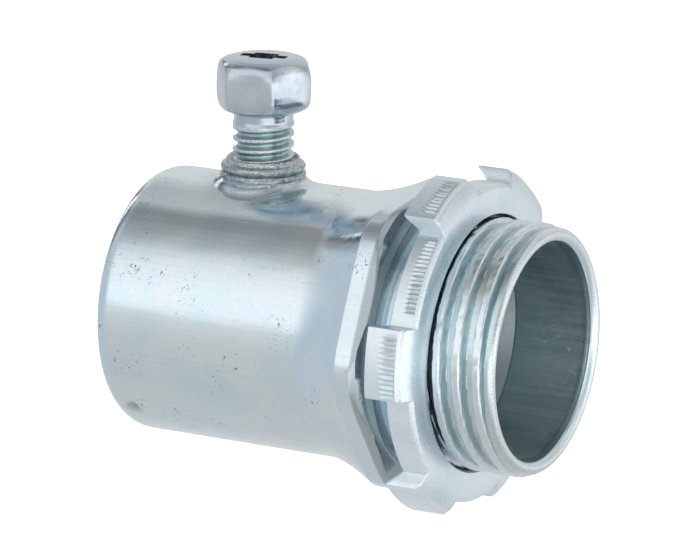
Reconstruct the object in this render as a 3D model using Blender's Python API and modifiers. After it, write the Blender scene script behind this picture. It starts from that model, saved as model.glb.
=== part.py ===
"""A half-inch steel set-screw conduit connector: one-piece body, stamped locknut and hex-head set screw.

The frame: +X runs along the conduit axis towards the threaded nipple, +Z points up the set screw, and the
origin is the centre of the shoulder's seat, the face that lies against a box wall. Lengths are in metres.
"""

import math

import bmesh
import bpy
from mathutils import Matrix

MM = 0.001

# Driving dimensions
BODY_RADIUS = 11.3 * MM  # the plain socket end
SOCKET_BORE = 9.15 * MM  # takes conduit of 17.93 mm
WIRE_BORE = 8.0 * MM  # the conduit stop's inner edge
NIPPLE_BORE = 9.0 * MM
BODY_BACK = -26.5 * MM  # the open end that the conduit enters
CONDUIT_STOP = -0.8 * MM
NIPPLE_FRONT = 10.2 * MM
FLANGE_RADIUS = 13.2 * MM  # over the rounded corners of the wrench flats
FLAT_APOTHEM = 12.2 * MM  # half of the size across the wrench flats
FLANGE_CORNER_DEG = 125.0  # one corner, as an angle about +X counted from +Y
FLANGE_BACK = -2.7 * MM  # where the flats end and the flare begins
FLARE_START = -7.6 * MM

NIPPLE_PITCH = 1.814 * MM  # 14 threads to the inch
NIPPLE_CREST = 10.54 * MM
NIPPLE_ROOT = 9.7 * MM
NIPPLE_GROOVE_X = 8.804 * MM  # a groove's centre at the angle 0

NUT_MINOR = 9.95 * MM
NUT_MAJOR = 10.85 * MM
NUT_FRONT = 4.63 * MM
NUT_SHEET = 2.26 * MM
LUG_RADIUS = 14.6 * MM
NOTCH_RADIUS = 13.35 * MM
LUG_COUNT = 6
LUG_CENTRE_DEG = 175.0
LUG_WIDTH_DEG = 26.0

SCREW_X = -16.7 * MM
SCREW_PITCH = 0.93 * MM
SCREW_CREST = 2.6 * MM
SCREW_ROOT = 2.18 * MM
BOSS_MINOR = 2.4 * MM
BOSS_MAJOR = 2.8 * MM
BOSS_TOP = 13.45 * MM
HEAD_APOTHEM = 3.79 * MM
HEAD_CORNER_DEG = 10.2
HEAD_UNDER = 17.3 * MM
HEAD_TOP = 21.95 * MM
SCREW_TIP = 9.3 * MM
THREAD_TOP = 16.15 * MM  # where the plain neck begins
POINT_TOP = 10.5 * MM  # where the unthreaded point ends

GAP = 0.3 * MM  # between neighbours that don't touch
ROUND_STEPS = 48
SMALL_STEPS = 24
MERGE = 1e-6
SHARP_DEG = 30.0

BARE_ZINC = (0.72, 0.75, 0.78)
NUT_ZINC = (0.66, 0.72, 0.76)
SCREW_ZINC = (0.70, 0.72, 0.73)


def clear_scene():
    for old in list(bpy.data.objects):
        bpy.data.objects.remove(old, do_unlink=True)


def collection(name):
    made = bpy.data.collections.new(name)
    bpy.context.scene.collection.children.link(made)
    return made


def metal(name, colour, roughness):
    made = bpy.data.materials.new(name)
    made.use_nodes = True
    shader = made.node_tree.nodes["Principled BSDF"]
    shader.inputs["Base Color"].default_value = (*colour, 1.0)
    shader.inputs["Metallic"].default_value = 1.0
    shader.inputs["Roughness"].default_value = roughness
    return made


def put(name, mesh, home, along_x, at):
    """An object of this mesh. along_x turns its own +Z to the world's +X."""
    obj = bpy.data.objects.new(name, mesh)
    home.objects.link(obj)
    obj.location = at
    if along_x:
        obj.rotation_euler = (0.0, math.radians(90.0), 0.0)
    return obj


def local_deg(world_deg):
    """An angle about +X from +Y, as the angle about its own Z of an object that along_x has turned."""
    return world_deg + 90.0


def turned(name, outline, home, steps, closed=False, along_x=False, at=(0.0, 0.0, 0.0)):
    """A turned solid: outline holds (radius, height) pairs, down the outer side. A closed one is a ring."""
    mesh = bpy.data.meshes.new(name)
    points = [(radius, 0.0, height) for radius, height in outline]
    edges = [(i, i + 1) for i in range(len(points) - 1)]
    if closed:
        edges.append((len(points) - 1, 0))
    mesh.from_pydata(points, edges, [])
    obj = put(name, mesh, home, along_x, at)
    screw = obj.modifiers.new("turn", "SCREW")
    screw.axis = "Z"
    screw.steps = screw.render_steps = steps
    screw.use_merge_vertices = True
    screw.merge_threshold = MERGE
    screw.use_smooth_shade = True
    return obj


def arc(centre, radius, start_deg, end_deg, count, squash=1.0):
    """Points (radius, height) on an arc, counted from the outward direction. squash scales its height."""
    angles = [start_deg + (end_deg - start_deg) * i / count for i in range(count + 1)]
    return [
        (
            centre[0] + radius * math.cos(math.radians(a)),
            centre[1] + radius * squash * math.sin(math.radians(a)),
        )
        for a in angles
    ]


def cutter(obj):
    obj.hide_render = True
    obj.display_type = "WIRE"
    return obj


def combine(obj, other, operation):
    modifier = obj.modifiers.new(other.name, "BOOLEAN")
    modifier.operation = operation
    modifier.solver = "EXACT"
    modifier.object = other


def coil(name, section, pitch, turns, home, steps, start_deg, along_x, at):
    """A helical cutter. section holds the corners (radius, height) of one groove."""
    mesh = bpy.data.meshes.new(name)
    count = len(section)
    mesh.from_pydata(
        [(radius, 0.0, height) for radius, height in section],
        [(i, (i + 1) % count) for i in range(count)],
        [],
    )
    guide = put(name + "_guide", mesh, home, False, (0.0, 0.0, 0.0))
    guide.rotation_euler = (0.0, 0.0, math.radians(start_deg))
    screw = guide.modifiers.new("climb", "SCREW")
    screw.axis = "Z"
    screw.angle = math.tau * turns
    screw.screw_offset = pitch * turns
    screw.steps = screw.render_steps = round(steps * turns)
    screw.use_merge_vertices = False
    bpy.context.view_layer.update()
    grown = guide.evaluated_get(bpy.context.evaluated_depsgraph_get())
    solid = bpy.data.meshes.new_from_object(grown)
    solid.transform(guide.matrix_world)
    bpy.data.objects.remove(guide, do_unlink=True)
    shape = bmesh.new()
    shape.from_mesh(solid)
    bmesh.ops.remove_doubles(shape, verts=shape.verts, dist=MERGE)
    bmesh.ops.holes_fill(shape, edges=[e for e in shape.edges if e.is_boundary], sides=0)
    bmesh.ops.recalc_face_normals(shape, faces=shape.faces)
    shape.to_mesh(solid)
    shape.free()
    solid.name = name
    return cutter(put(name, solid, home, along_x, at))


def hexagon(name, apothem, low, high, home, corner_deg, at):
    """An upright six-sided prism, made from a cylinder primitive."""
    radius = apothem / math.cos(math.pi / 6)
    shape = bmesh.new()
    bmesh.ops.create_cone(
        shape, cap_ends=True, segments=6, radius1=radius, radius2=radius, depth=high - low
    )
    bmesh.ops.recalc_face_normals(shape, faces=shape.faces)
    for vertex in shape.verts:
        vertex.co.z += (high + low) / 2.0
    first = min(shape.verts, key=lambda v: -v.co.x)
    turn = math.radians(corner_deg) - math.atan2(first.co.y, first.co.x)
    bmesh.ops.rotate(shape, verts=shape.verts, cent=(0, 0, 0), matrix=Matrix.Rotation(turn, 3, "Z"))
    mesh = bpy.data.meshes.new(name)
    shape.to_mesh(mesh)
    shape.free()
    return cutter(put(name, mesh, home, False, at))


def block(name, size, middle, home, turn_deg=0.0):
    """A box cutter, turned about its own Z."""
    shape = bmesh.new()
    bmesh.ops.create_cube(shape, size=1.0)
    bmesh.ops.scale(shape, vec=size, verts=shape.verts)
    mesh = bpy.data.meshes.new(name)
    shape.to_mesh(mesh)
    shape.free()
    obj = put(name, mesh, home, False, middle)
    obj.rotation_euler = (0.0, 0.0, math.radians(turn_deg))
    return cutter(obj)


def finish(obj, material):
    """The material and smooth shading, kept through the modifiers."""
    obj.data.materials.append(material)
    for modifier in obj.modifiers:
        if modifier.type == "BOOLEAN":
            modifier.material_mode = "TRANSFER"
    return obj


def thread_groove(root, beyond, root_width, slope):
    """The trapezoid of an external thread's groove, from its root out past the crest."""
    wide = root_width / 2.0 + slope * (beyond - root)
    return [(root, root_width / 2.0), (root, -root_width / 2.0), (beyond, -wide), (beyond, wide)]


def inner_groove(major, beyond, bottom_width, slope):
    """The trapezoid of an internal thread's groove, from its bottom in past the minor radius."""
    wide = bottom_width / 2.0 + slope * (major - beyond)
    return [(major, bottom_width / 2.0), (beyond, wide), (beyond, -wide), (major, -bottom_width / 2.0)]


def flats_radius(world_deg):
    """The flange's radius at this angle: six flats with the corners cut at the flange's own radius."""
    off_middle = (world_deg - FLANGE_CORNER_DEG) % 60.0 - 30.0
    return min(FLAT_APOTHEM / math.cos(math.radians(off_middle)), FLANGE_RADIUS)


def formed_radius(radius, height, world_deg):
    """A radius of the body's outline at this angle: the flare swells into the flats of the flange."""
    if radius <= BODY_RADIUS or height > 0.0:
        return radius
    if height >= FLANGE_BACK:
        return min(radius, flats_radius(world_deg))
    swell = (flats_radius(world_deg) - BODY_RADIUS) / (FLANGE_RADIUS - BODY_RADIUS)
    return BODY_RADIUS + (radius - BODY_RADIUS) * swell


def formed(name, outline, home):
    """A ring about +X with this closed outline, drawn out of round by formed_radius."""
    count = len(outline)
    points, faces = [], []
    for step in range(ROUND_STEPS):
        world = FLANGE_CORNER_DEG + 360.0 * step / ROUND_STEPS
        turn = math.radians(local_deg(world))
        for radius, height in outline:
            reach = formed_radius(radius, height, world)
            points.append((reach * math.cos(turn), reach * math.sin(turn), height))
        this, following = step * count, (step + 1) % ROUND_STEPS * count
        for i in range(count):
            j = (i + 1) % count
            faces.append((this + i, following + i, following + j, this + j))
    mesh = bpy.data.meshes.new(name)
    mesh.from_pydata(points, [], faces)
    shape = bmesh.new()
    shape.from_mesh(mesh)
    bmesh.ops.recalc_face_normals(shape, faces=shape.faces)
    shape.to_mesh(mesh)
    shape.free()
    return put(name, mesh, home, True, (0.0, 0.0, 0.0))


def body_outline():
    """The body's closed outline, (radius, x): down the outside from the rim, then back up the bore."""
    rim_middle, rim_radius = 9.7 * MM, 0.64 * MM
    rim_height = NIPPLE_FRONT - rim_radius
    rim = arc((rim_middle, rim_height), rim_radius, 180.0, 20.0, 8)
    relief = 0.9 * MM
    flange = [
        (11.6 * MM, 0.0),
        (12.2 * MM, -0.4 * MM),
        (12.8 * MM, -0.85 * MM),
        (FLANGE_RADIUS, -1.4 * MM),
        (FLANGE_RADIUS, FLANGE_BACK),
    ]
    steps, steepness = 8, 1.4
    rise, length = FLANGE_RADIUS - BODY_RADIUS, FLANGE_BACK - FLARE_START
    flare = [
        (BODY_RADIUS + rise * (1.0 - i / steps) ** steepness, FLANGE_BACK - length * i / steps)
        for i in range(1, steps + 1)
    ]
    lip_length, lip_depth = 1.2 * MM, 0.6 * MM
    lip = arc(
        (BODY_RADIUS - lip_depth, BODY_BACK + lip_length), lip_depth, 0.0, -90.0, 5, lip_length / lip_depth
    )
    mouth = 0.4 * MM
    return [
        *rim,
        (NIPPLE_CREST, 9.15 * MM),
        (NIPPLE_CREST, relief + 0.8 * MM),
        (NIPPLE_ROOT + 0.05 * MM, relief),
        (NIPPLE_ROOT + 0.05 * MM, 0.0),
        *flange,
        *flare,
        *lip,
        (SOCKET_BORE + mouth, BODY_BACK),
        (SOCKET_BORE, BODY_BACK + mouth),
        (SOCKET_BORE, CONDUIT_STOP),
        (WIRE_BORE, CONDUIT_STOP),
        (WIRE_BORE, 1.7 * MM),
        (NIPPLE_BORE, 2.7 * MM),
    ]


def boss_outline():
    """The drawn-up collar that the set screw threads into, (radius, z), solid until it is drilled."""
    root = 9.8 * MM
    return [
        (0.0, BOSS_TOP),
        (2.85 * MM, BOSS_TOP),
        (3.2 * MM, 12.95 * MM),
        (3.54 * MM, 12.45 * MM),
        (3.54 * MM, 12.0 * MM),
        (3.75 * MM, 11.55 * MM),
        (4.3 * MM, 11.1 * MM),
        (4.9 * MM, 10.75 * MM),
        (4.9 * MM, root),
        (0.0, root),
    ]


def make_body(home, cutters):
    body = formed("connector_body", body_outline(), home)
    boss = cutter(turned("screw_boss", boss_outline(), cutters, SMALL_STEPS, at=(SCREW_X, 0.0, 0.0)))
    drill_low = 5.0 * MM
    drill = cutter(
        turned(
            "boss_drill",
            [
                (0.0, BOSS_TOP + 1.0 * MM),
                (BOSS_MAJOR + 1.0 * MM, BOSS_TOP + 1.0 * MM),
                (BOSS_MINOR, BOSS_TOP - 0.4 * MM),
                (BOSS_MINOR, drill_low),
                (0.0, drill_low),
            ],
            cutters,
            SMALL_STEPS,
            at=(SCREW_X, 0.0, 0.0),
        )
    )
    nipple_turns = 5
    nipple_thread = coil(
        "nipple_thread",
        thread_groove(NIPPLE_ROOT, 10.85 * MM, 0.55 * MM, 0.476),
        NIPPLE_PITCH,
        nipple_turns,
        cutters,
        ROUND_STEPS,
        local_deg(0.0),
        True,
        (NIPPLE_GROOVE_X - 4 * NIPPLE_PITCH, 0.0, 0.0),
    )
    boss_thread = coil(
        "boss_thread",
        inner_groove(BOSS_MAJOR, 2.25 * MM, 0.29 * MM, 0.548),
        SCREW_PITCH,
        8,
        cutters,
        SMALL_STEPS,
        0.0,
        False,
        (SCREW_X, 0.0, SCREW_TIP - 2.5 * SCREW_PITCH),
    )
    combine(body, boss, "UNION")
    combine(body, drill, "DIFFERENCE")
    combine(body, boss_thread, "DIFFERENCE")
    combine(body, nipple_thread, "DIFFERENCE")
    return finish(body, metal("bright_zinc_body", BARE_ZINC, 0.28))


def nut_outline():
    """The locknut's closed outline, (radius, x): down the outside from the front of the hole."""
    back = NUT_FRONT - NUT_SHEET
    chamfer = 0.55 * MM
    return [
        (NUT_MINOR + chamfer, NUT_FRONT),
        (12.2 * MM, NUT_FRONT - 0.06 * MM),
        (12.9 * MM, 4.45 * MM),
        (13.5 * MM, 4.15 * MM),
        (14.1 * MM, 3.6 * MM),
        (LUG_RADIUS, 2.85 * MM),
        (LUG_RADIUS, 0.6 * MM),
        (LUG_RADIUS - 0.3 * MM, 0.32 * MM),
        (14.0 * MM, 0.7 * MM),
        (13.75 * MM, 1.5 * MM),
        (NOTCH_RADIUS + 0.1 * MM, 2.15 * MM),
        (12.9 * MM, 2.3 * MM),
        (12.2 * MM, back),
        (NUT_MINOR + chamfer, back),
        (NUT_MINOR, back + chamfer),
        (NUT_MINOR, NUT_FRONT - chamfer),
    ]


def notch_cutter(centre_deg, home):
    """One notch between two lugs: a sector of ring, thick enough to pass through the sheet."""
    half = (360.0 / LUG_COUNT - LUG_WIDTH_DEG) / 2.0
    steps = 8
    outer = LUG_RADIUS + 2.0 * MM
    start, end = local_deg(centre_deg - half), local_deg(centre_deg + half)
    angles = [math.radians(start + (end - start) * i / steps) for i in range(steps + 1)]
    inner_edge = [(NOTCH_RADIUS * math.cos(a), NOTCH_RADIUS * math.sin(a)) for a in angles]
    outer_edge = [(outer * math.cos(a), outer * math.sin(a)) for a in reversed(angles)]
    shape = bmesh.new()
    floor = [shape.verts.new((x, y, -2.0 * MM)) for x, y in inner_edge + outer_edge]
    face = shape.faces.new(floor)
    grown = bmesh.ops.extrude_face_region(shape, geom=[face])["geom"]
    for vertex in (v for v in grown if isinstance(v, bmesh.types.BMVert)):
        vertex.co.z += 8.0 * MM
    bmesh.ops.recalc_face_normals(shape, faces=shape.faces)
    mesh = bpy.data.meshes.new(f"notch_{centre_deg:.0f}")
    shape.to_mesh(mesh)
    shape.free()
    return cutter(put(mesh.name, mesh, home, True, (0.0, 0.0, 0.0)))


def make_locknut(home, cutters):
    nut = turned("locknut", nut_outline(), home, ROUND_STEPS, closed=True, along_x=True)
    nut_thread = coil(
        "nut_thread",
        inner_groove(NUT_MAJOR, 9.75 * MM, 0.70 * MM, 0.476),
        NIPPLE_PITCH,
        4,
        cutters,
        ROUND_STEPS,
        local_deg(0.0),
        True,
        (NIPPLE_GROOVE_X + NIPPLE_PITCH / 2.0 - 5 * NIPPLE_PITCH, 0.0, 0.0),
    )
    combine(nut, nut_thread, "DIFFERENCE")
    spacing = 360.0 / LUG_COUNT
    for i in range(LUG_COUNT):
        combine(nut, notch_cutter((LUG_CENTRE_DEG + (i + 0.5) * spacing) % 360.0, cutters), "DIFFERENCE")
    back = NUT_FRONT - NUT_SHEET
    ring_inner, ring_outer, ring_depth = 11.5 * MM, 12.2 * MM, 0.8 * MM
    seat = cutter(
        turned(
            "ring_seat",
            [
                (ring_outer + GAP, back + ring_depth + GAP),
                (ring_outer + GAP, back - 1.0 * MM),
                (ring_inner - GAP, back - 1.0 * MM),
                (ring_inner - GAP, back + ring_depth + GAP),
            ],
            cutters,
            ROUND_STEPS,
            closed=True,
            along_x=True,
        )
    )
    combine(nut, seat, "DIFFERENCE")
    ring = turned(
        "locknut_back_ring",
        [
            (ring_outer, back + ring_depth),
            (ring_outer, back + 0.02 * MM),
            (ring_inner, back + 0.02 * MM),
            (ring_inner, back + ring_depth),
        ],
        home,
        ROUND_STEPS,
        closed=True,
        along_x=True,
    )
    zinc = metal("bright_zinc_locknut", NUT_ZINC, 0.36)
    return finish(nut, zinc), finish(ring, zinc)


def screw_outline():
    """The set screw before its hex, recess and thread are cut, (radius, z)."""
    neck = 2.57 * MM
    return [
        (0.0, HEAD_TOP),
        (2.37 * MM, HEAD_TOP),
        (3.4 * MM, 21.7 * MM),
        (3.8 * MM, 21.35 * MM),
        (4.15 * MM, 20.5 * MM),
        (4.29 * MM, 19.6 * MM),
        (4.26 * MM, 18.8 * MM),
        (4.1 * MM, 18.2 * MM),
        (3.7 * MM, 17.7 * MM),
        (3.2 * MM, 17.42 * MM),
        (neck, HEAD_UNDER),
        (neck, THREAD_TOP),
        (SCREW_CREST, THREAD_TOP),
        (SCREW_CREST, POINT_TOP + GAP + 0.5 * MM),
        (SCREW_ROOT, POINT_TOP + GAP),
        (0.0, POINT_TOP + GAP),
    ]


def make_set_screw(home, cutters):
    at = (SCREW_X, 0.0, 0.0)
    screw = turned("set_screw", screw_outline(), home, SMALL_STEPS, at=at)
    flats = hexagon("head_hex", HEAD_APOTHEM, 5.0 * MM, 25.0 * MM, cutters, HEAD_CORNER_DEG, at)
    thread = coil(
        "screw_thread",
        thread_groove(SCREW_ROOT, 2.75 * MM, 0.2 * MM, 0.548),
        SCREW_PITCH,
        7,
        cutters,
        SMALL_STEPS,
        0.0,
        False,
        (SCREW_X, 0.0, SCREW_TIP),
    )
    slot_length, slot_width, slot_depth = 4.0 * MM, 1.0 * MM, 1.3 * MM
    square_width, square_depth = 2.1 * MM, 2.2 * MM
    slot = block(
        "driver_slot",
        (slot_length, slot_width, 2.0 * slot_depth),
        (SCREW_X, 0.0, HEAD_TOP),
        cutters,
        turn_deg=HEAD_CORNER_DEG,
    )
    square = block(
        "driver_square",
        (square_width, square_width, 2.0 * square_depth),
        (SCREW_X, 0.0, HEAD_TOP),
        cutters,
        turn_deg=HEAD_CORNER_DEG,
    )
    combine(screw, flats, "INTERSECT")
    combine(screw, square, "DIFFERENCE")
    combine(screw, slot, "DIFFERENCE")
    combine(screw, thread, "DIFFERENCE")
    point = turned(
        "set_screw_point",
        [
            (0.0, POINT_TOP),
            (SCREW_ROOT, POINT_TOP),
            (SCREW_ROOT, SCREW_TIP + 0.5 * MM),
            (1.7 * MM, SCREW_TIP),
            (0.0, SCREW_TIP),
        ],
        home,
        SMALL_STEPS,
        at=at,
    )
    zinc = metal("bright_zinc_screw", SCREW_ZINC, 0.3)
    return finish(screw, zinc), finish(point, zinc)


def main():
    clear_scene()
    parts = collection("set_screw_conduit_connector")
    cutters = collection("cutters")
    make_body(parts, cutters)
    make_locknut(parts, cutters)
    make_set_screw(parts, cutters)


main()
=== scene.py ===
"""The looks of a half-inch steel set-screw conduit connector: drawn body, locknut and hex-head set screw."""

import math

import bpy
import numpy as np
from mathutils import Matrix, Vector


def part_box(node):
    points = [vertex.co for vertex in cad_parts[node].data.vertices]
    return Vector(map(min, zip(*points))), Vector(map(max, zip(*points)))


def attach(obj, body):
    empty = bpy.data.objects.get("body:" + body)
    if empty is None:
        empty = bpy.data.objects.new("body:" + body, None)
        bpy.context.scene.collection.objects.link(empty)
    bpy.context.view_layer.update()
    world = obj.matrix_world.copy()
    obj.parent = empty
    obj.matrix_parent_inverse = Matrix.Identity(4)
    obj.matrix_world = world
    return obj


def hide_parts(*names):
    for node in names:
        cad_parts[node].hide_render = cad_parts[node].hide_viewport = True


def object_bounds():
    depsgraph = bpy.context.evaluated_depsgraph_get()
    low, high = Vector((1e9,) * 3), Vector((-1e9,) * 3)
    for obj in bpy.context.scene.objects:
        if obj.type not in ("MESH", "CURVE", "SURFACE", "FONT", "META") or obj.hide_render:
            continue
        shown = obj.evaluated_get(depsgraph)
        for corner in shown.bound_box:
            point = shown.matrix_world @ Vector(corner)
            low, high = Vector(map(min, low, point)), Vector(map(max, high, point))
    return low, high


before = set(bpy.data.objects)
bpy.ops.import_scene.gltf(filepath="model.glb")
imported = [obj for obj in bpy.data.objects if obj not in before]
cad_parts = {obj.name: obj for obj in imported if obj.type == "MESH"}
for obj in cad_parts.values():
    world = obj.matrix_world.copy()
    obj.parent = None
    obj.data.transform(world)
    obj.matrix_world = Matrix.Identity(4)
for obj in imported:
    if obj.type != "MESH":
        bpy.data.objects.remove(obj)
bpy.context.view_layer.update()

MM = 0.001

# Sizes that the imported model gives
body_low, body_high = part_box("connector_body")
nut_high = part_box("locknut")[1]
screw_low, screw_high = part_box("set_screw")
point_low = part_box("set_screw_point")[0]
BODY_BACK = body_low.x
NIPPLE_FRONT = body_high.x
SCREW_X = (screw_low.x + screw_high.x) / 2.0
HEAD_TOP = screw_high.z
SCREW_TIP = point_low.z
LUG_RADIUS = nut_high.y
NUT_FRONT = nut_high.x
BOSS_TOP = body_high.z

# Sizes of the design that a box can't give
BODY_RADIUS = 11.3 * MM
LIP_LENGTH = 1.3 * MM
LIP_DEPTH = 0.62 * MM
SOCKET_BORE = 9.15 * MM
WIRE_BORE = 8.0 * MM
NIPPLE_BORE = 9.0 * MM
CONDUIT_STOP = -0.8 * MM
FLAT_APOTHEM = 12.2 * MM
FLANGE_RADIUS = 13.2 * MM
FLANGE_BACK = -2.7 * MM
FLARE_START = -7.6 * MM
FLANGE_CORNER_DEG = 125.0
SHOULDER = ((11.6 * MM, 0.0), (12.2 * MM, -0.4 * MM), (12.8 * MM, -0.85 * MM), (FLANGE_RADIUS, -1.4 * MM))
RIM_RADIUS = 0.635 * MM
RIM_CENTRE = (9.7 * MM, NIPPLE_FRONT - RIM_RADIUS)
NIPPLE_PITCH = 1.814 * MM
NIPPLE_CREST = 10.54 * MM
NIPPLE_ROOT = 9.7 * MM
NIPPLE_GROOVE_X = 8.804 * MM  # a groove's middle at the angle 0
THREAD_END = 9.15 * MM  # where the crest starts to fall towards the rim
CONE_SMALL, CONE_LARGE = 1.7 * MM, 2.7 * MM  # where the wire bore widens to the nipple's bore
NUT_MINOR = 9.95 * MM
NUT_MAJOR = 10.85 * MM
NUT_SHEET = 2.26 * MM
NOTCH_RADIUS = 13.35 * MM
SCREW_PITCH = 0.93 * MM
SCREW_CREST = 2.6 * MM
SCREW_ROOT = 2.18 * MM
SCREW_NECK = 2.52 * MM
SCREW_THREAD_TOP = 16.3 * MM
BOSS_MINOR = 2.4 * MM
BOSS_MAJOR = 2.8 * MM
HEAD_APOTHEM = 3.79 * MM
HEAD_CORNER_DEG = 10.2
HEAD_UNDER = 17.3 * MM
HEAD_LINE = (
    (0.02, 21.95), (1.6, 21.95), (2.37, 21.93), (2.9, 21.86), (3.4, 21.7), (3.76, 21.42), (4.0, 21.02),
    (4.18, 20.45), (4.27, 19.75), (4.29, 19.1), (4.22, 18.55), (4.05, 18.1), (3.76, 17.75), (3.36, 17.48),
    (3.0, 17.34),
)  # (radius, z) in millimetres, before the flats are cut
DRIVER_BLOCKS = (((4.0, 1.0), 1.2), ((2.1, 2.1), 1.9))  # (sides, depth) in millimetres

# The locknut's lugs, (middle, width), and the serrated stretches of its edge, (start, end), in degrees
LUGS = ((112.0, 25.0), (175.0, 24.5), (235.0, 26.0), (295.0, 26.0), (355.0, 26.0), (55.0, 30.0))
SERRATED = ((103.0, 121.5), (129.5, 158.0), (165.0, 186.5))

# Tints, as linear colours. Several stand in for light: painted shade in grooves, round the boss and in deep
# places, and painted highlights on worn edges
PIT_TINT = (0.20, 0.16, 0.14, 1.0)
# painted shade in the thread grooves
GROOVE_SHADE_TINT = (0.36, 0.48, 0.49, 1.0)
# painted shade round the set screw's boss, on its collar and in the dent
PAINTED_SHADE_TINT = (0.22, 0.25, 0.26, 1.0)
INSIDE_TINTS = ((0.60, 0.70, 0.71, 1.0), (0.68, 0.78, 0.79, 1.0))
# painted shade deep in the bore, in the locknut's hole and in the gap behind the locknut
DEEP_SHADE_TINT = (0.22, 0.27, 0.29, 1.0)
# near white: worn metal with a painted highlight on crests, rims and edges
WORN_AND_GLINT_TINT = (0.97, 0.96, 0.94, 1.0)

# Light levels round the conduit axis, (degrees from +Y towards +Z, level)
BANDS = (
    (0.0, 0.72), (36.0, 0.76), (43.0, 0.68), (58.0, 0.50), (79.0, 0.56), (84.0, 0.27), (95.0, 0.29),
    (115.0, 0.49), (128.0, 0.84), (142.0, 1.02), (160.0, 1.10), (175.0, 1.08), (181.0, 0.78),
    (200.0, 0.64), (240.0, 0.60), (290.0, 0.62), (325.0, 0.72), (360.0, 0.66),
)
# Light levels beyond the nipple, (0 straight down to 1 straight up, level)
AHEAD = ((0.0, 0.35), (0.12, 0.62), (0.28, 1.1), (0.46, 1.25), (0.55, 0.92), (0.68, 0.70), (1.0, 0.66))
LEFT_LIGHT = (0.58, 0.63, 0.68, 1.0)
LIP_SHADE = (0.05, 0.06, 0.07, 1.0)
STREAK_LIGHT = (1.3, 1.35, 1.4, 1.0)
EDGE_SHADE = (0.10, 0.12, 0.13, 1.0)
WHITE = (1.0, 1.0, 1.0, 1.0)


# Shapes


def smooth(low, high, value):
    """0 up to low, 1 from high, and a smooth step between them."""
    t = np.clip((value - low) / (high - low), 0.0, 1.0)
    return t * t * (3.0 - 2.0 * t)


def soft_min(a, b, width):
    """The smaller of the two, with the crease between them rounded over this width."""
    share = np.clip(0.5 + 0.5 * (b - a) / width, 0.0, 1.0)
    return b * (1.0 - share) + a * share - width * share * (1.0 - share)


def bump(value, centre, half_width):
    """A smooth hump of height 1."""
    t = np.clip(np.abs(value - centre) / half_width, 0.0, 1.0)
    return (1.0 - t * t) ** 2


def turn_between(angle, centre):
    """The angle from centre, brought between -180 and 180 degrees."""
    return (angle - centre + 180.0) % 360.0 - 180.0


def ripple(along, angle, seed, longest, count=9):
    """Gentle waves over a turned surface, about 1 high. angle is in degrees."""
    draw = np.random.default_rng(seed)
    total = np.zeros(np.broadcast(along, angle).shape)
    for _ in range(count):
        turns = draw.integers(0, 9)
        wave = draw.uniform(0.3, 1.0) * math.tau / longest
        phase = draw.uniform(0.0, math.tau)
        total = total + np.sin(np.radians(turns * angle) + wave * along + phase)
    return total / math.sqrt(count)


def line(start, end, step):
    """Points from start to end, without the end."""
    start, end = np.array(start), np.array(end)
    count = max(1, round(float(np.linalg.norm(end - start)) / step))
    return start + (end - start) * (np.arange(count) / count)[:, None]


def polyline(points, step):
    """Points along the lines between these, without the last."""
    return np.concatenate([line(a, b, step) for a, b in zip(points, points[1:])])


def arc(centre, radius, start_deg, end_deg, count, squash=1.0):
    """Points (radius, height) along an arc, without its end."""
    angle = np.radians(start_deg + (end_deg - start_deg) * np.arange(count) / count)
    height = centre[1] + radius * squash * np.sin(angle)
    return np.stack([centre[0] + radius * np.cos(angle), height], axis=1)


def round_angles(count):
    """Even angles round a ring in degrees, as one row."""
    return (np.arange(count) * 360.0 / count)[None, :]


def grid_object(name, points, closed, sharp_deg, attributes=None):
    """A mesh from rings of points, each ring closed. The rings close on themselves too, or end in caps."""
    rows, columns = points.shape[:2]
    index = np.arange(rows * columns).reshape(rows, columns)
    after = np.roll(index, -1, axis=1)
    upper = np.arange(rows if closed else rows - 1)
    lower = (upper + 1) % rows
    quads = np.stack([index[upper], index[lower], after[lower], after[upper]], axis=-1).reshape(-1, 4)
    flat = points.reshape(-1, 3)
    a, b, c, d = (flat[quads[:, i]] for i in range(4))
    volume = np.einsum("ij,ij->", a, np.cross(b, c)) + np.einsum("ij,ij->", a, np.cross(c, d))
    if volume < 0.0:
        quads = quads[:, ::-1]
    faces = quads.tolist()
    if not closed:
        caps = [index[0].tolist(), index[-1][::-1].tolist()]
        faces += caps if volume >= 0.0 else [cap[::-1] for cap in caps]
    mesh = bpy.data.meshes.new(name)
    mesh.from_pydata(flat.tolist(), [], faces)
    for label, values in (attributes or {}).items():
        layer = mesh.attributes.new(label, "FLOAT", "POINT")
        layer.data.foreach_set("value", np.broadcast_to(values, (rows, columns)).astype(np.float32).ravel())
    mesh.shade_smooth()
    mesh.set_sharp_from_angle(angle=math.radians(sharp_deg))
    obj = bpy.data.objects.new(name, mesh)
    bpy.context.scene.collection.objects.link(obj)
    return obj


def about_x(radius, x, angle_deg):
    """Points around the conduit axis. The angle runs from +Y towards +Z."""
    angle = np.radians(angle_deg)
    return np.stack(np.broadcast_arrays(x, radius * np.cos(angle), radius * np.sin(angle)), axis=-1)


def about_z(radius, z, angle_deg):
    """Points around the set screw's axis. The angle runs from +X towards +Y."""
    angle = np.radians(angle_deg)
    return np.stack(
        np.broadcast_arrays(SCREW_X + radius * np.cos(angle), radius * np.sin(angle), z), axis=-1
    )


def groove_share(along, angle, start, pitch, bottom, top):
    """How deep in a right-hand thread's groove each point is: 1 at the bottom, 0 on the crest.
    bottom and top are the groove's width there, and start is a groove's middle at the angle 0."""
    offset = np.abs((along - start - pitch * angle / 360.0 + pitch / 2.0) % pitch - pitch / 2.0)
    return 1.0 - smooth(bottom / 2.0, top / 2.0, offset)


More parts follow.
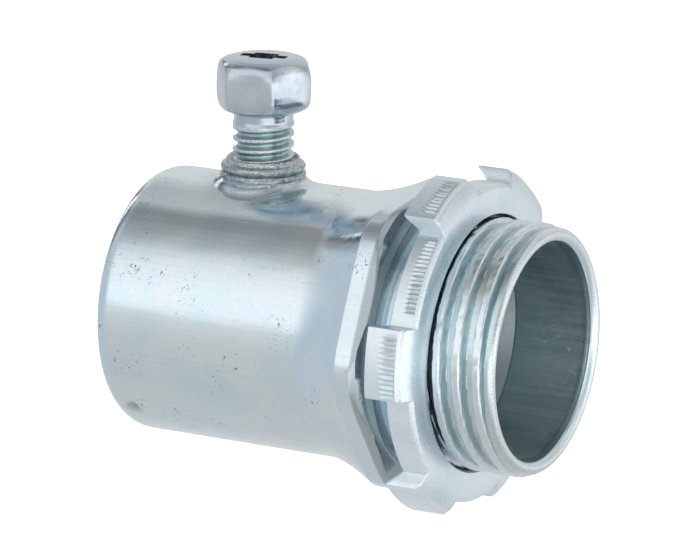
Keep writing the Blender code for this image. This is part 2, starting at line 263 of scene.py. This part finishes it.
def carve(obj, cutter, operation):
    """A Boolean that is applied at once, with its cutter removed."""
    modifier = obj.modifiers.new("carve", "BOOLEAN")
    modifier.operation = operation
    modifier.solver = "EXACT"
    modifier.object = cutter
    bpy.context.view_layer.update()
    done = bpy.data.meshes.new_from_object(obj.evaluated_get(bpy.context.evaluated_depsgraph_get()))
    obj.modifiers.remove(modifier)
    obj.data = done
    bpy.data.objects.remove(cutter, do_unlink=True)


def body_outer():
    """The body's outer line, (radius, x), from the front of the rim to the end of the socket's lip."""
    x = np.linspace(FLANGE_BACK, FLARE_START, 60)[:-1]
    rise = (x - FLARE_START) / (FLANGE_BACK - FLARE_START)
    flare = np.stack([BODY_RADIUS + (FLANGE_RADIUS - BODY_RADIUS) * rise**1.6, x], axis=1)
    lip_start = BODY_BACK + LIP_LENGTH
    lip_centre = (BODY_RADIUS - LIP_DEPTH, lip_start)
    corner = 0.15 * MM
    rim_side, crest_end = (RIM_CENTRE[0] + RIM_RADIUS, RIM_CENTRE[1]), (NIPPLE_CREST, 1.5 * MM)
    return np.concatenate(
        [
            arc(RIM_CENTRE, RIM_RADIUS, 90.0, 0.0, 12),
            polyline((rim_side, (NIPPLE_CREST, THREAD_END), crest_end), 0.07 * MM),
            line(crest_end, (NIPPLE_ROOT, 0.7 * MM), 0.1 * MM),
            line((NIPPLE_ROOT, 0.7 * MM), (NIPPLE_ROOT, corner), 0.2 * MM),
            arc((NIPPLE_ROOT + corner, corner), corner, 180.0, 270.0, 4),
            line((NIPPLE_ROOT + corner, 0.0), SHOULDER[0], 0.3 * MM),
            polyline(SHOULDER, 0.07 * MM),
            line(SHOULDER[-1], (FLANGE_RADIUS, FLANGE_BACK), 0.1 * MM),
            flare,
            line((BODY_RADIUS, FLARE_START), (BODY_RADIUS, lip_start), 0.22 * MM),
            arc(lip_centre, LIP_DEPTH, 0.0, -90.0, 14, LIP_LENGTH / LIP_DEPTH),
        ]
    )


def body_inner():
    """The body's inner line, (radius, x), from the end of the lip to the front of the rim."""
    mouth = 0.35 * MM
    return np.concatenate(
        [
            line((BODY_RADIUS - LIP_DEPTH, BODY_BACK), (SOCKET_BORE + mouth, BODY_BACK), 0.3 * MM),
            arc((SOCKET_BORE + mouth, BODY_BACK + mouth), mouth, -90.0, -180.0, 5),
            line((SOCKET_BORE, BODY_BACK + mouth), (SOCKET_BORE, CONDUIT_STOP), 1.0 * MM),
            line((SOCKET_BORE, CONDUIT_STOP), (WIRE_BORE, CONDUIT_STOP), 0.4 * MM),
            line((WIRE_BORE, CONDUIT_STOP), (WIRE_BORE, CONE_SMALL), 0.5 * MM),
            line((WIRE_BORE, CONE_SMALL), (NIPPLE_BORE, CONE_LARGE), 0.2 * MM),
            line((NIPPLE_BORE, CONE_LARGE), (NIPPLE_BORE, RIM_CENTRE[1]), 0.18 * MM),
            arc(RIM_CENTRE, RIM_RADIUS, 180.0, 90.0, 12),
        ]
    )


def boss_rise(distance):
    """How far the body's wall is drawn up at this distance from the set screw's axis."""
    foot, shoulder, height = 4.8 * MM, 3.45 * MM, 0.62 * MM
    t = np.clip((foot - distance) / (foot - shoulder), 0.0, 1.0)
    return height * t**2.4


def make_body():
    """The outer and inner lines turned about X, with the thread, the flats and the boss added."""
    angle = round_angles(300)
    outer, inner = body_outer(), body_inner()
    line_of = np.concatenate([outer, inner])
    radius, x = line_of[:, :1] + 0.0 * angle, line_of[:, 1:]
    is_outer = (np.arange(len(line_of)) < len(outer))[:, None]

    threaded = is_outer & (x > 0.5 * MM) & (radius > NIPPLE_ROOT)
    groove = groove_share(x, angle, NIPPLE_GROOVE_X, NIPPLE_PITCH, 0.5 * MM, 1.4 * MM)
    depth = (NIPPLE_CREST - NIPPLE_ROOT) * (1.0 - 0.8 * smooth(9.25 * MM, 9.6 * MM, x))
    worn = 0.02 * MM * ripple(x, 7.0 * angle, 5, 1.1 * MM)
    cut = NIPPLE_CREST - depth * groove + worn * (1.0 - groove)
    radius = np.where(threaded, np.minimum(radius, cut), radius)

    off_middle = (angle - FLANGE_CORNER_DEG) % 60.0 - 30.0
    flat = soft_min(FLAT_APOTHEM / np.cos(np.radians(off_middle)), FLANGE_RADIUS, 0.7 * MM)
    swollen = BODY_RADIUS + (radius - BODY_RADIUS) * (flat - BODY_RADIUS) / (FLANGE_RADIUS - BODY_RADIUS)
    swollen = np.where(x >= FLANGE_BACK, soft_min(radius, flat, 0.16 * MM), swollen)
    radius = np.where(is_outer & (x <= 0.0) & (x > FLARE_START), swollen, radius)

    plain = is_outer & (x < -1.0 * MM)
    wave = 0.011 * MM * ripple(x, angle, 3, 16.0 * MM) + 0.0035 * MM * ripple(x, 4.0 * angle, 8, 5.0 * MM)
    radius = radius + np.where(plain, wave * smooth(-1.0 * MM, -3.0 * MM, x), 0.0)
    side = BODY_RADIUS * np.cos(np.radians(angle))
    from_screw = np.where(np.sin(np.radians(angle)) > 0.0, np.hypot(x - SCREW_X, side), 1.0)
    radius = radius + np.where(is_outer & (x < -8.0 * MM), boss_rise(from_screw), 0.0)
    dent_x, dent_deg = -24.4 * MM, 222.0
    from_dent = np.hypot(x - dent_x, BODY_RADIUS * np.radians(turn_between(angle, dent_deg)))
    dent = np.where(plain, bump(from_dent, 0.0, 1.1 * MM), 0.0)
    radius = radius - 0.22 * MM * dent

    # worn crests and rim, brightened with painted highlights
    crest = np.where(threaded, bump(groove, 0.2, 0.2), 0.0)
    rim = 0.45 * bump(x, NIPPLE_FRONT - 0.1 * MM, 0.35 * MM)
    inside = np.where(is_outer, 0.0, 1.0) * smooth(NIPPLE_FRONT - 0.7 * MM, NIPPLE_FRONT - 1.4 * MM, x)
    # painted shade in the gap between the flange and the locknut, and deep in the bore
    gap_shade = np.where(is_outer & (radius > NIPPLE_CREST), smooth(-1.45 * MM, -1.15 * MM, x), 0.0)
    throat_shade = np.where(~is_outer & (x > CONDUIT_STOP) & (x < CONE_LARGE + 0.05 * MM), 1.0, 0.0)
    near_boss = np.where(is_outer, 1.0 - smooth(3.6 * MM, 6.2 * MM, from_screw), 0.0)
    # painted shade in the nipple's thread grooves
    painted_groove_shade = 0.35 * smooth(0.5, 0.9, groove) + 0.65 * bump(groove, 0.6, 0.3)
    attributes = {
        "wear_and_glint": np.maximum(crest, rim * (1.0 - inside)),
        "groove": np.where(threaded, painted_groove_shade, 0.0),
        "inside": inside + 0.0 * angle,
        "deep": np.maximum(throat_shade, 0.6 * gap_shade),
        # painted shade round the foot of the boss and in the dent
        "boss": np.maximum(0.3 * near_boss, dent),
    }
    body = grid_object("drawn_connector_body", about_x(radius, x, angle), True, 38.0, attributes)
    carve(body, boss_collar(), "UNION")
    carve(body, boss_hole(), "DIFFERENCE")
    return body


def boss_collar():
    """The rolled collar on top of the drawn-up wall, with its pressing rings."""
    angle = round_angles(120)
    ledge = np.concatenate(
        [
            line((1.0 * MM, BOSS_TOP), (2.85 * MM, BOSS_TOP), 0.4 * MM),
            arc((2.85 * MM, BOSS_TOP - 0.26 * MM), 0.26 * MM, 90.0, -20.0, 7),
            line((3.1 * MM, 13.08 * MM), (3.16 * MM, 12.95 * MM), 0.08 * MM),
            arc((3.24 * MM, 12.62 * MM), 0.34 * MM, 95.0, -40.0, 8),
            line((3.5 * MM, 12.4 * MM), (3.36 * MM, 12.24 * MM), 0.08 * MM),
            arc((3.28 * MM, 11.92 * MM), 0.34 * MM, 75.0, -45.0, 8),
            line((3.5 * MM, 11.66 * MM), (3.42 * MM, 11.5 * MM), 0.08 * MM),
            line((3.42 * MM, 11.5 * MM), (3.7 * MM, 11.15 * MM), 0.1 * MM),
            line((3.7 * MM, 11.15 * MM), (3.7 * MM, 10.3 * MM), 0.2 * MM),
        ]
    )
    radius, z = ledge[:, :1] + 0.0 * angle, ledge[:, 1:]
    ragged = 0.02 * MM * ripple(z, 3.0 * angle, 11, 1.2 * MM)
    radius = radius + np.where(z > 11.5 * MM, ragged * smooth(2.0 * MM, 3.0 * MM, radius), 0.0)
    return grid_object("boss_collar", about_z(radius, z, angle), False, 38.0)


def boss_hole():
    """The threaded hole through the collar and the wall, as a cutter."""
    angle = round_angles(96)
    z = np.arange(BOSS_TOP + 0.4 * MM, 7.5 * MM, -0.06 * MM)[:, None]
    start = SCREW_TIP - 2.0 * SCREW_PITCH
    groove = groove_share(z, angle, start, SCREW_PITCH, 0.2 * MM, 0.75 * MM)
    radius = BOSS_MINOR + (BOSS_MAJOR - BOSS_MINOR) * groove
    countersink = 0.62 * MM
    radius = np.maximum(radius, BOSS_MINOR + np.clip(z - BOSS_TOP + countersink, 0.0, 1.0))
    return grid_object("boss_hole", about_z(radius, z, angle), False, 38.0)


def lug_share(angle):
    """1 over a lug and 0 over a notch, with steep ends, and how much of the edge is serrated."""
    share = np.zeros(angle.shape)
    for centre, width in LUGS:
        away = np.abs(turn_between(angle, centre))
        share = np.maximum(share, 1.0 - smooth(width / 2.0 - 0.7, width / 2.0 + 0.9, away))
    serrated = np.zeros(angle.shape)
    for low, high in SERRATED:
        middle, half = (low + high) / 2.0, (high - low) / 2.0
        away = np.abs(turn_between(angle, middle))
        serrated = np.maximum(serrated, 1.0 - smooth(half - 0.5, half, away))
    return share, serrated


def nut_dish(radius):
    """How far back the front of the locknut's sheet is dished at this radius."""
    over = np.clip(radius - 11.6 * MM, 0.0, None) / MM
    return MM * (0.055 * over**2 + 0.075 * np.clip(over - 1.1, 0.0, None) ** 2)


def nut_bend(radius):
    """How far back the back of the sheet is, which is flat up to where the lugs bend."""
    over = np.clip(radius - 12.9 * MM, 0.0, None) / MM
    return MM * np.minimum(0.8 * over**1.3, 1.9)


def nut_outside(angle, back, hole_radius):
    """Rings (radius, x, mark) from the hole over the face, round the stamped edge and back under."""
    lug, serrated = lug_share(angle)
    outer = NOTCH_RADIUS + (LUG_RADIUS - NOTCH_RADIUS) * lug
    corner, under = 0.35 * MM, 0.15 * MM
    edge_front, edge_back = NUT_FRONT - nut_dish(outer), back - nut_bend(outer)
    rows = []
    for share in np.concatenate([np.linspace(0.0, 0.75, 13)[:-1], np.linspace(0.75, 1.0, 9)]):
        radius = hole_radius + (outer - corner - hole_radius) * share
        rows.append((radius, NUT_FRONT - nut_dish(radius), 0.0))
    for step in range(1, 5):
        turn = math.radians(90.0 * step / 5.0)
        x = edge_front - corner * (1.0 - math.cos(turn))
        # the mark 0.6: worn stamped edge with a painted highlight
        rows.append((outer - corner * (1.0 - math.sin(turn)), x, 0.6))
    tooth, reach = 0.41 * MM, 14.0 * MM
    teeth = 0.5 + 0.5 * np.sin(np.radians(angle) * reach / tooth * math.tau)
    for share in np.linspace(0.0, 1.0, 12):
        x = (edge_front - corner) * (1.0 - share) + (edge_back + under) * share
        strip = serrated * (1.0 - smooth(0.42, 0.5, np.array(share)))
        # a negative mark paints shade between the serrated teeth
        rows.append((outer - 0.12 * MM * strip * teeth, x, -0.4 * strip * teeth))
    for share in np.linspace(1.0, 0.0, 12):
        radius = hole_radius + (outer - under - hole_radius) * share
        rows.append((radius, back - nut_bend(radius), 0.0))
    return rows


def nut_inside(angle, back):
    """Rings (radius, x, mark) of the hole: its thread from the back, then the counterbore in front."""
    hole_edge, counterbore, cleared = 0.5 * MM, 0.95 * MM, NUT_MAJOR - 0.2 * MM
    ridge_x = NIPPLE_GROOVE_X + NIPPLE_PITCH / 2.0
    rows = []
    # the mark -2 paints groove shade and deep shade over the hole's thread
    for share in np.linspace(0.0, 1.0, 24):
        x = back + hole_edge + (NUT_SHEET - hole_edge - counterbore) * share
        groove = groove_share(x, angle, ridge_x, NIPPLE_PITCH, 0.6 * MM, 1.55 * MM)
        rows.append((NUT_MINOR + (NUT_MAJOR - NUT_MINOR) * groove, x, -2.0))
    rows.append((cleared, NUT_FRONT - counterbore, -2.0))
    rows.append((cleared, NUT_FRONT - 0.3 * MM, -2.0))
    return rows


def make_locknut():
    """A mark above 0 is worn metal with a painted highlight, down to -1 the painted groove shade, and down
    to -2 the deep painted shade as well.
    """
    angle = round_angles(960)
    back = NUT_FRONT - NUT_SHEET
    rows = nut_outside(angle, back, NUT_MINOR + 0.88 * MM) + nut_inside(angle, back)
    radius, x, mark = (
        np.stack([np.broadcast_to(row[i], angle.shape)[0] for row in rows]) for i in range(3)
    )
    x = x + 0.02 * MM * ripple(0.0, angle, 21, 1.0 * MM) * smooth(11.0 * MM, 12.5 * MM, radius)
    attributes = {
        "wear_and_glint": np.clip(mark, 0.0, 1.0),
        "groove": np.clip(-mark, 0.0, 1.0),
        "deep": np.clip(-mark - 1.0, 0.0, 1.0),
    }
    return grid_object("stamped_locknut", about_x(radius, x, angle), True, 35.0, attributes)


def screw_line():
    """The set screw's line, (radius, z), from the middle of the head's top to the middle of its point."""
    points = np.array(HEAD_LINE) * MM
    points[:, 1] += HEAD_TOP - points[0, 1]
    dense = np.linspace(0, len(points) - 1, 90)
    at = np.arange(len(points))
    head_line = np.stack([np.interp(dense, at, points[:, i]) for i in (0, 1)], axis=1)
    corner = 0.15 * MM
    neck_end = 16.35 * MM
    crest_end, root_start = SCREW_TIP + 1.0 * MM, SCREW_TIP + 0.5 * MM
    return np.concatenate(
        [
            head_line,
            line((2.95 * MM, 17.31 * MM), (SCREW_NECK + corner, HEAD_UNDER), 0.1 * MM),
            arc((SCREW_NECK + corner, HEAD_UNDER - corner), corner, 90.0, 180.0, 5),
            line((SCREW_NECK, HEAD_UNDER - corner), (SCREW_NECK, neck_end), 0.15 * MM),
            line((SCREW_CREST, neck_end), (SCREW_CREST, crest_end), 0.05 * MM),
            line((SCREW_CREST, crest_end), (SCREW_ROOT, root_start), 0.1 * MM),
            line((SCREW_ROOT, root_start), (1.7 * MM, SCREW_TIP), 0.12 * MM),
            line((1.7 * MM, SCREW_TIP), (0.02 * MM, SCREW_TIP), 0.4 * MM),
        ]
    )


def make_screw():
    """The line turned about the screw's axis, with the head's flats and the thread added."""
    angle = round_angles(180)
    points = screw_line()
    radius, z = points[:, :1] + 0.0 * angle, points[:, 1:]
    off_middle = (angle - HEAD_CORNER_DEG) % 60.0 - 30.0
    flat = HEAD_APOTHEM / np.cos(np.radians(off_middle))
    radius = np.where(z > HEAD_UNDER, soft_min(radius + 0.05 * MM, flat, 0.6 * MM), radius)
    threaded = (z < SCREW_THREAD_TOP) & (z > SCREW_TIP + 0.6 * MM)
    groove = groove_share(z, angle, SCREW_TIP, SCREW_PITCH, 0.14 * MM, 0.8 * MM)
    groove = groove * smooth(SCREW_THREAD_TOP, 15.7 * MM, z)
    cut = SCREW_CREST - (SCREW_CREST - SCREW_ROOT) * groove
    radius = np.where(threaded, np.minimum(radius, cut), radius)
    # worn crests with painted highlights
    crest = np.where(threaded, 1.0 - smooth(0.0, 0.4, groove), 0.0)
    radius = radius + np.where(z > HEAD_UNDER, 0.025 * MM * ripple(z, angle, 14, 2.5 * MM), 0.0)
    # painted shade in the thread's grooves
    attributes = {"wear_and_glint": 0.6 * crest, "groove": np.where(threaded, groove, 0.0)}
    screw = grid_object("hex_set_screw", about_z(radius, z, angle), False, 38.0, attributes)
    for sides, deep in DRIVER_BLOCKS:
        carve(screw, driver_block(sides, deep), "DIFFERENCE")
    return screw


def driver_block(sides, deep):
    """A block that sinks into the head's top, with its edges rounded."""
    mesh = bpy.data.meshes.new("driver_block")
    half = [size * MM / 2.0 for size in (*sides, 2.0 * deep)]
    corners = [(i * half[0], j * half[1], k * half[2]) for i in (-1, 1) for j in (-1, 1) for k in (-1, 1)]
    faces = [(0, 1, 3, 2), (4, 6, 7, 5), (0, 4, 5, 1), (2, 3, 7, 6), (0, 2, 6, 4), (1, 5, 7, 3)]
    mesh.from_pydata(corners, [], faces)
    block = bpy.data.objects.new("driver_block", mesh)
    bpy.context.scene.collection.objects.link(block)
    turned = Matrix.Rotation(math.radians(HEAD_CORNER_DEG), 4, "Z")
    block.matrix_world = Matrix.Translation((SCREW_X, 0.0, HEAD_TOP)) @ turned
    bevel = block.modifiers.new("edges", "BEVEL")
    bevel.width = 0.15 * MM
    bevel.segments = 3
    return block


# Materials


class Nodes:
    """Short forms for building a node tree."""

    def __init__(self, tree):
        self.tree = tree

    def add(self, kind, inputs=None, **settings):
        made = self.tree.nodes.new(kind)
        for key, value in settings.items():
            setattr(made, key, value)
        for key, value in (inputs or {}).items():
            self.put(made.inputs[key], value)
        return made

    def put(self, socket, value):
        if isinstance(value, bpy.types.NodeSocket):
            self.tree.links.new(value, socket)
        elif isinstance(value, bpy.types.Node):
            self.tree.links.new(value.outputs[0], socket)
        else:
            socket.default_value = value

    def math(self, operation, a, b=0.0, clamp=False):
        return self.add("ShaderNodeMath", {0: a, 1: b}, operation=operation, use_clamp=clamp).outputs[0]

    def times(self, first, *others):
        for other in others:
            first = self.math("MULTIPLY", first, other)
        return first

    def plus(self, first, *others):
        for other in others:
            first = self.math("ADD", first, other)
        return first

    def noise(self, vector, scale, detail=3.0, rough=0.5, warp=0.0):
        inputs = {"Vector": vector, "Scale": scale, "Detail": detail, "Roughness": rough, "Distortion": warp}
        return self.add("ShaderNodeTexNoise", inputs).outputs["Fac"]

    def scaled(self, vector, scale):
        return self.add("ShaderNodeMapping", {"Vector": vector, "Scale": scale}).outputs[0]

    def range(self, value, low, high, to_low=0.0, to_high=1.0):
        inputs = {"Value": value, "From Min": low, "From Max": high, "To Min": to_low, "To Max": to_high}
        return self.add("ShaderNodeMapRange", inputs, interpolation_type="SMOOTHSTEP").outputs[0]

    def mix(self, share, a, b):
        made = self.add("ShaderNodeMix", data_type="RGBA")
        self.put(made.inputs[0], share)
        self.put(made.inputs[6], a)
        self.put(made.inputs[7], b)
        return made.outputs[2]

    def attribute(self, name):
        return self.add("ShaderNodeAttribute", attribute_name=name).outputs["Fac"]

    def levels(self, share, pairs):
        """A grey ramp over 0 to 1 through these (position, level) pairs."""
        ramp = self.add("ShaderNodeValToRGB", {0: share})
        stops = ramp.color_ramp.elements
        for position, _ in pairs[1:-1]:
            stops.new(position)
        for stop, (_, level) in zip(stops, pairs):
            stop.color = (level, level, level, 1.0)
        return ramp.outputs[0]


def collar_shares(nodes, place):
    """Where the set screw's collar is, and where the hole through it is, from the place in millimetres."""
    x, y, z = nodes.add("ShaderNodeSeparateXYZ", {0: place}).outputs
    along = nodes.math("SUBTRACT", x, SCREW_X / MM)
    reach = nodes.plus(nodes.math("POWER", along, 2.0), nodes.math("POWER", y, 2.0))
    reach = nodes.math("SQRT", reach)
    raised = nodes.times(nodes.range(z, 11.4, 11.8), nodes.range(reach, 4.4, 3.8))
    drilled = nodes.times(nodes.range(z, 9.0, 9.2), nodes.range(reach, 3.0, 2.85))
    return raised, drilled


def zinc(name, cool, warm, roughness, grain, lines=0.0, pits=0.0, metallic=1.0, collared=False):
    """Plated steel. grain is the fine unevenness, lines the drawing lines along X, pits the brown specks.
    collared paints shade on the set screw's collar and darkens its hole."""
    material = bpy.data.materials.new(name)
    material.use_nodes = True
    nodes = Nodes(material.node_tree)
    shader = material.node_tree.nodes["Principled BSDF"]
    shader.inputs["Metallic"].default_value = metallic
    place = nodes.scaled(nodes.add("ShaderNodeTexCoord").outputs["Object"], (1.0 / MM,) * 3)
    cloud = nodes.noise(place, 0.22, 4.0, 0.55, 0.4)
    mottle = nodes.noise(place, 2.4, 4.0, 0.6)
    fine = nodes.noise(place, 14.0, 2.0, 0.6)
    drawn = nodes.noise(nodes.scaled(place, (0.05, 3.4, 3.4)), 1.0, 4.0, 0.62)
    dull = (*(c * 0.86 for c in cool), 1.0)

    colour = nodes.mix(nodes.range(cloud, 0.35, 0.65), (*cool, 1.0), (*warm, 1.0))
    colour = nodes.mix(nodes.range(mottle, 0.5, 0.8, 0.0, 0.5), colour, dull)
    rough = nodes.plus(
        roughness, nodes.range(cloud, 0.3, 0.7, -0.03, 0.05), nodes.range(mottle, 0.3, 0.7, -0.03, 0.04)
    )
    height = nodes.plus(nodes.times(fine, grain), nodes.times(mottle, grain * 1.5))
    if lines:
        height = nodes.plus(height, nodes.times(drawn, lines))
        rough = nodes.plus(rough, nodes.range(drawn, 0.35, 0.7, -0.03, 0.06))
        colour = nodes.mix(nodes.range(drawn, 0.56, 0.72, 0.0, 0.35), colour, dull)
    if pits:
        moved = nodes.add("ShaderNodeMapping", {"Vector": place, "Location": (9.4, 0.0, 0.0)})
        patch = nodes.range(nodes.noise(moved, 0.30, 2.0), 0.55, 0.65)
        specks = nodes.range(nodes.noise(place, 2.3, 4.0, 0.72, 1.5), 0.60, 0.66)
        spot = nodes.math("MULTIPLY", nodes.times(patch, specks), pits, clamp=True)
        colour = nodes.mix(spot, colour, PIT_TINT)
        rough = nodes.plus(rough, nodes.times(spot, 0.25))
        height = nodes.math("SUBTRACT", height, nodes.times(spot, 0.008))

    # Painted shade in the thread grooves and between the serrated teeth
    colour = nodes.mix(nodes.times(nodes.attribute("groove"), 0.9), colour, GROOVE_SHADE_TINT)
    boss, inside = nodes.attribute("boss"), nodes.attribute("inside")
    if collared:
        raised, drilled = collar_shares(nodes, place)
        boss = nodes.math("MAXIMUM", boss, raised)
        inside = nodes.math("MAXIMUM", inside, drilled)
    # Painted shade round the boss, on its collar and in the dent
    colour = nodes.mix(nodes.times(boss, nodes.range(mottle, 0.3, 0.7, 0.5, 0.85)), colour, PAINTED_SHADE_TINT)
    colour = nodes.mix(inside, colour, nodes.mix(nodes.range(drawn, 0.3, 0.7), *INSIDE_TINTS))
    # Painted shade deep in the bore, in the locknut's hole and in the gap behind the locknut
    colour = nodes.mix(nodes.attribute("deep"), colour, DEEP_SHADE_TINT)
    rough = nodes.plus(rough, nodes.times(boss, 0.08), nodes.times(inside, 0.27))
    # Worn metal brightened near white: part real wear, part painted highlight
    wear_and_glint = nodes.attribute("wear_and_glint")
    sparkle = nodes.noise(place, 6.5, 3.0, 0.7)
    colour = nodes.mix(nodes.times(wear_and_glint, nodes.range(sparkle, 0.45, 0.58)), colour, WORN_AND_GLINT_TINT)
    height = nodes.plus(height, nodes.times(wear_and_glint, sparkle, 0.07))

    nodes.put(shader.inputs["Base Color"], colour)
    nodes.put(shader.inputs["Roughness"], nodes.math("MAXIMUM", rough, 0.06))
    relief = nodes.add("ShaderNodeBump", {"Height": height, "Strength": 1.0, "Distance": MM})
    nodes.put(shader.inputs["Normal"], relief)
    return material


def dress(obj, body, slot, material, *nodes):
    """Gives the object its material, and says which body it rides on and which CAD nodes it replaces."""
    obj.data.materials.clear()
    obj.data.materials.append(material)
    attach(obj, body)
    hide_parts(*nodes)


# Camera, light and floor


def make_camera():
    """Level with the near side, swung towards the nipple and a little above."""
    azimuth, elevation, roll = 0.49361, 0.25148, -0.00981
    look = Matrix.Rotation(azimuth, 3, "Z") @ Matrix.Rotation(math.pi / 2.0 - elevation, 3, "X")
    look = look @ Matrix.Rotation(-roll, 3, "Z")
    data = bpy.data.cameras.new("camera")
    data.sensor_width = 36.0
    data.lens = 257.14
    data.clip_start, data.clip_end = 0.02, 20.0
    camera = bpy.data.objects.new("camera", data)
    bpy.context.scene.collection.objects.link(camera)
    camera.matrix_world = Matrix.Translation((0.18353, -0.35660, 0.10775)) @ look.to_4x4()
    bpy.context.scene.camera = camera


def make_world():
    """Soft studio light as bands round the conduit axis, which is what the bright metal mirrors."""
    world = bpy.data.worlds.new("studio")
    bpy.context.scene.world = world
    world.use_nodes = True
    nodes = Nodes(world.node_tree)
    ground = world.node_tree.nodes["Background"]
    direction = nodes.add("ShaderNodeTexCoord").outputs["Generated"]
    x, y, z = nodes.add("ShaderNodeSeparateXYZ", {0: direction}).outputs
    behind, near = nodes.times(x, -1.0), nodes.times(y, -1.0)

    turn = nodes.times(nodes.math("ARCTAN2", z, y), 1.0 / math.tau)
    turn = nodes.math("FRACT", nodes.plus(turn, 1.0))
    colour = nodes.levels(turn, [(degrees / 360.0, level) for degrees, level in BANDS])
    left = nodes.times(nodes.range(behind, 0.52, 0.80), nodes.range(near, -0.1, 0.1))
    colour = nodes.mix(left, colour, LEFT_LIGHT)

    # What the socket's lip mirrors: a dark patch with a bright streak in it
    lip = nodes.times(nodes.range(behind, 0.66, 0.76), nodes.range(y, 0.0, 0.25), nodes.range(z, 0.10, 0.25))
    colour = nodes.mix(lip, colour, LIP_SHADE)
    streak = nodes.times(
        nodes.range(y, 0.26, 0.32), nodes.range(y, 0.50, 0.44), nodes.range(z, 0.22, 0.30), lip
    )
    colour = nodes.mix(streak, colour, STREAK_LIGHT)

    # What faces the nipple, brighter towards the near side, with a dark patch at its edge
    ahead = nodes.times(
        nodes.levels(nodes.range(z, -1.0, 1.0), AHEAD), nodes.range(near, -0.85, -0.3, 0.72, 1.24)
    )
    colour = nodes.mix(nodes.range(x, 0.10, 0.60), colour, ahead)
    edge = nodes.times(
        nodes.range(x, 0.5, 0.62), nodes.range(near, -0.1, 0.08), nodes.range(z, 0.12, 0.24), 0.35
    )
    colour = nodes.mix(edge, colour, EDGE_SHADE)
    seen = nodes.add("ShaderNodeLightPath").outputs["Is Camera Ray"]
    colour = nodes.mix(seen, colour, WHITE)
    nodes.put(ground.inputs["Color"], colour)


def make_floor():
    """A plain pale floor just under the part. It glows a little, so that it meets the white behind."""
    mesh = bpy.data.meshes.new("floor")
    half, level = 3.0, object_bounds()[0][2] - 0.2 * MM
    corners = [(i * half, j * half, level) for i, j in ((-1, -1), (1, -1), (1, 1), (-1, 1))]
    mesh.from_pydata(corners, [], [(0, 1, 2, 3)])
    floor = bpy.data.objects.new("floor", mesh)
    bpy.context.scene.collection.objects.link(floor)
    material = bpy.data.materials.new("pale_floor")
    material.use_nodes = True
    shader = material.node_tree.nodes["Principled BSDF"]
    shader.inputs["Base Color"].default_value = (0.9, 0.9, 0.9, 1.0)
    shader.inputs["Roughness"].default_value = 0.9
    shader.inputs["Emission Color"].default_value = WHITE
    shader.inputs["Emission Strength"].default_value = 0.85
    mesh.materials.append(material)
    floor.visible_glossy = False


def main():
    bpy.context.scene.view_settings.view_transform = "Standard"
    make_camera()
    make_world()
    make_floor()
    body_zinc = zinc(
        "drawn_zinc", cool=(0.70, 0.83, 0.90), warm=(0.78, 0.85, 0.88), roughness=0.11, grain=0.0015,
        lines=0.009, pits=1.0, collared=True,
    )
    nut_zinc = zinc(
        "stamped_zinc", cool=(0.72, 0.84, 0.91), warm=(0.80, 0.88, 0.92), roughness=0.28, grain=0.006,
        pits=0.3, metallic=0.88,
    )
    screw_zinc = zinc(
        "screw_zinc", cool=(0.48, 0.56, 0.64), warm=(0.62, 0.67, 0.71), roughness=0.14, grain=0.003, pits=0.4
    )
    dress(make_body(), "body_shell", "body_zinc", body_zinc, "connector_body")
    dress(make_locknut(), "locknut_spin", "locknut_zinc", nut_zinc, "locknut", "locknut_back_ring")
    dress(make_screw(), "screw_spin", "screw_zinc", screw_zinc, "set_screw", "set_screw_point")


main()
